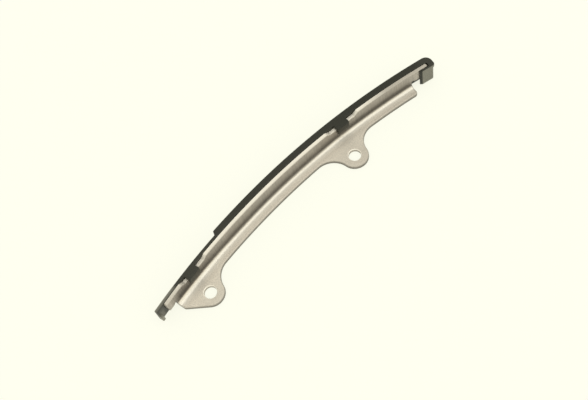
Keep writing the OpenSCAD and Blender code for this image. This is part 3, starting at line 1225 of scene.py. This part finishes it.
@dataclass(frozen=True)
class PressedSteel:
    """Plain cold-rolled sheet: warm grey satin, drawn along its length and brushed up the wall."""

    light: tuple[float, float, float] = (0.88, 0.815, 0.735)
    dark: tuple[float, float, float] = (0.83, 0.76, 0.68)
    bright: tuple[float, float, float] = (0.97, 0.93, 0.875)
    metallic: float = 1.0
    smooth: float = 0.58
    dull: float = 0.68

    def material(self) -> bpy.types.Material:
        """Build the material.

        Returns:
            The finished material.
        """
        sheet = NodeSheet("pressed_steel")
        clouds = sheet.noise((90.0, 90.0, 90.0), 4.0)
        streaks = sheet.noise((60.0, 1400.0, 1400.0), 3.0, 0.6)
        brushing = sheet.noise((1900.0, 1900.0, 90.0), 3.0, 0.6)
        body = sheet.ramp(clouds, [(0.3, self.dark), (0.7, self.light)])
        lines = sheet.ramp(streaks, [(0.3, (0.94, 0.94, 0.94)), (0.7, (1.0, 1.0, 1.0))])
        strokes = sheet.ramp(brushing, [(0.34, (0.80, 0.81, 0.82)), (0.66, (1.0, 1.0, 1.0))])
        drawn = sheet.multiply(sheet.multiply(body, lines), strokes)
        # painted light and shade through the tone attribute
        toned = sheet.multiply(drawn, sheet.mark("tone"))
        # painted highlight along the start of the bend, the wall's free edge and the hole rims
        highlighted = sheet.blend(toned, self.bright, sheet.mark("highlight_share"))
        sheet.link(highlighted, sheet.shader.inputs["Base Color"])
        sheet.shader.inputs["Metallic"].default_value = self.metallic
        sheet.link(sheet.spread(streaks, self.smooth, self.dull), sheet.shader.inputs["Roughness"])
        sheet.bump(streaks, 0.00002, 0.25)
        return sheet.material


@dataclass(frozen=True)
class BlackNylon:
    """Moulded nylon: near black with an olive cast and a slight sheen."""

    light: tuple[float, float, float] = (0.023, 0.023, 0.011)
    dark: tuple[float, float, float] = (0.004, 0.004, 0.001)
    # pale colour of the painted sheen and light, and of the paleness at the lower end
    lightened: tuple[float, float, float] = (0.30, 0.29, 0.225)
    smooth: float = 0.30
    dull: float = 0.44
    specular: float = 0.36

    def material(self) -> bpy.types.Material:
        """Build the material.

        Returns:
            The finished material.
        """
        sheet = NodeSheet("black_nylon")
        clouds = sheet.noise((160.0, 160.0, 160.0), 3.0)
        grain = sheet.noise((2600.0, 2600.0, 2600.0), 2.0)
        specks = sheet.noise((4200.0, 4200.0, 4200.0), 2.0, 0.6)
        body = sheet.ramp(specks, [(0.36, self.dark), (0.66, self.light)])
        pits = sheet.ramp(specks, [(0.36, (0.72, 0.72, 0.72)), (0.62, (1.0, 1.0, 1.0))])
        # pale shares of painted sheen and light on the nylon, with pits
        painted_light = sheet.multiply(sheet.blend(body, self.lightened, sheet.mark("paleness")), pits)
        sheet.link(painted_light, sheet.shader.inputs["Base Color"])
        sheet.link(sheet.spread(clouds, self.smooth, self.dull), sheet.shader.inputs["Roughness"])
        sheet.shader.inputs["Specular IOR Level"].default_value = self.specular
        sheet.bump(grain, 0.00003, 0.3)
        return sheet.material


@dataclass(frozen=True)
class PaleSurface:
    """Plain pale floor that looks the same to the camera and in reflections, and keeps the shadow."""

    colour: tuple[float, float, float] = (1.0, 1.0, 0.87)
    glow_share: float = 0.85
    roughness: float = 0.9

    def material(self) -> bpy.types.Material:
        """Build the material.

        Returns:
            The finished material.
        """
        sheet = NodeSheet("pale_surface")
        sheet.shader.inputs["Base Color"].default_value = (*self.colour, 1.0)
        sheet.shader.inputs["Roughness"].default_value = self.roughness
        sheet.shader.inputs["Specular IOR Level"].default_value = 0.0
        glow = sheet.add("ShaderNodeEmission", Color=(*self.colour, 1.0), Strength=1.0)
        seen = seen_ray(sheet.tree)
        share = sheet.tree.nodes.new("ShaderNodeMath")
        share.operation = "MULTIPLY"
        share.inputs[1].default_value = self.glow_share
        sheet.link(seen, share.inputs[0])
        mix = sheet.tree.nodes.new("ShaderNodeMixShader")
        sheet.link(share.outputs["Value"], mix.inputs["Fac"])
        sheet.link(sheet.shader.outputs["BSDF"], mix.inputs[1])
        sheet.link(glow.outputs["Emission"], mix.inputs[2])
        sheet.link(mix.outputs["Shader"], sheet.output.inputs["Surface"])
        return sheet.material


def seen_ray(tree: bpy.types.NodeTree) -> bpy.types.NodeSocket:
    """Value that is 1 for camera, glossy and transmission rays.

    Args:
        tree: Node tree that the nodes go into.

    Returns:
        The value's socket.
    """
    path = tree.nodes.new("ShaderNodeLightPath")
    seen = path.outputs["Is Camera Ray"]
    for kind in ("Is Glossy Ray", "Is Transmission Ray"):
        node = tree.nodes.new("ShaderNodeMath")
        node.operation = "MAXIMUM"
        tree.links.new(seen, node.inputs[0])
        tree.links.new(path.outputs[kind], node.inputs[1])
        seen = node.outputs["Value"]
    return seen


@dataclass
class Studio:
    """Floor, soft lights and the camera of the photograph's view."""

    floor_half: float = 3000.0
    floor_z: float = -0.02
    floor_cells: int = 4
    backdrop: tuple[float, float, float] = (1.0, 1.0, 0.87)
    fill: float = 0.95
    fill_colour: tuple[float, float, float] = (1.0, 0.99, 0.97)
    key_place: tuple[float, float, float] = (0.26, -0.14, 1.05)
    key_size: float = 0.5
    key_watts: float = 1.3
    camera_place: tuple[float, float, float] = (-98.1, -189.3, 409.9)
    camera_ahead: tuple[float, float, float] = (0.2369, 0.4183, -0.8769)
    camera_right: tuple[float, float, float] = (0.7059, -0.6942, -0.1405)
    focal_px: float = 892.1
    image_w: float = 588.0
    sensor_w: float = 36.0

    def floor(self) -> bpy.types.Object:
        """Lay the floor under the seating face.

        Returns:
            The floor's object.
        """
        count = self.floor_cells + 1
        edge = np.linspace(-self.floor_half, self.floor_half, count)
        x, y = np.meshgrid(edge, edge, indexing="ij")
        points = np.stack([x, y, np.full_like(x, self.floor_z)], axis=2).reshape(-1, 3)
        i, j = np.meshgrid(np.arange(self.floor_cells), np.arange(self.floor_cells), indexing="ij")
        near, far = i * count + j, (i + 1) * count + j
        faces = np.stack([near, far, far + 1, near + 1], axis=2).reshape(-1, 4)
        ground = put_mesh("floor", points, faces.tolist())
        ground.data.materials.append(PaleSurface().material())
        return ground

    def world(self) -> None:
        """Light everything evenly, with the pale backdrop for camera and reflections."""
        world = bpy.data.worlds.new("studio")
        world.use_nodes = True
        tree = world.node_tree
        tree.nodes.clear()
        output = tree.nodes.new("ShaderNodeOutputWorld")
        light = tree.nodes.new("ShaderNodeBackground")
        light.inputs["Color"].default_value = (*self.fill_colour, 1.0)
        light.inputs["Strength"].default_value = self.fill
        backdrop = tree.nodes.new("ShaderNodeBackground")
        backdrop.inputs["Color"].default_value = (*self.backdrop, 1.0)
        backdrop.inputs["Strength"].default_value = 1.0
        mix = tree.nodes.new("ShaderNodeMixShader")
        tree.links.new(seen_ray(tree), mix.inputs["Fac"])
        tree.links.new(light.outputs["Background"], mix.inputs[1])
        tree.links.new(backdrop.outputs["Background"], mix.inputs[2])
        tree.links.new(mix.outputs["Shader"], output.inputs["Surface"])
        bpy.context.scene.world = world

    def lamp(self, name: str, place: tuple[float, float, float], size: float, watts: float) -> None:
        """Add a square soft light that points at the object.

        Args:
            name: Name of the light.
            place: Place in metres.
            size: Side in metres.
            watts: Power.
        """
        data = bpy.data.lights.new(name, "AREA")
        data.shape = "SQUARE"
        data.size = size
        data.energy = watts
        lamp = bpy.data.objects.new(name, data)
        lamp.location = place
        lamp.rotation_mode = "QUATERNION"
        lamp.rotation_quaternion = (Vector((0.0, 0.0, 0.0)) - Vector(place)).to_track_quat("-Z", "Y")
        bpy.context.scene.collection.objects.link(lamp)

    def camera(self) -> None:
        """Stand the camera at the photograph's place, worked out for its frame."""
        ahead = np.array(self.camera_ahead)
        ahead /= np.linalg.norm(ahead)
        right = np.array(self.camera_right)
        right -= ahead * (right @ ahead)
        right /= np.linalg.norm(right)
        up = np.cross(right, ahead)
        data = bpy.data.cameras.new("camera")
        data.sensor_width = self.sensor_w
        data.lens = self.focal_px * self.sensor_w / self.image_w
        data.clip_start = 0.01
        data.clip_end = 20.0
        camera = bpy.data.objects.new("camera", data)
        turn = Matrix(np.stack([right, up, -ahead], axis=1).tolist()).to_4x4()
        camera.matrix_world = Matrix.Translation(Vector(self.camera_place) * MM) @ turn
        bpy.context.scene.collection.objects.link(camera)
        bpy.context.scene.camera = camera

    def build(self) -> None:
        """Set the whole stage."""
        bpy.context.scene.view_settings.view_transform = "Standard"
        self.camera()
        self.world()
        self.floor()
        self.lamp("key", self.key_place, self.key_size, self.key_watts)


def dress(piece: bpy.types.Object, material: bpy.types.Material, node: Node) -> None:
    """Give a piece its finish and its place in the part.

    Args:
        piece: The finished piece.
        material: Its material.
        node: Solid that the piece stands for.
    """
    piece.data.materials.append(material)
    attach(piece, ROOT_BODY)
    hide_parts(node.value)
    LOG.info("%s: %d points, %d faces", piece.name, len(piece.data.vertices), len(piece.data.polygons))


def main() -> None:
    """Build the guide's pieces over the frame and set the stage."""
    logging.basicConfig(level=logging.INFO)
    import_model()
    Studio().build()
    dress(Bracket().build(), PressedSteel().material(), Node.BRACKET)
    dress(Shoe().build(), BlackNylon().material(), Node.SHOE)
    bpy.context.view_layer.update()


if __name__ == "__main__":
    main()
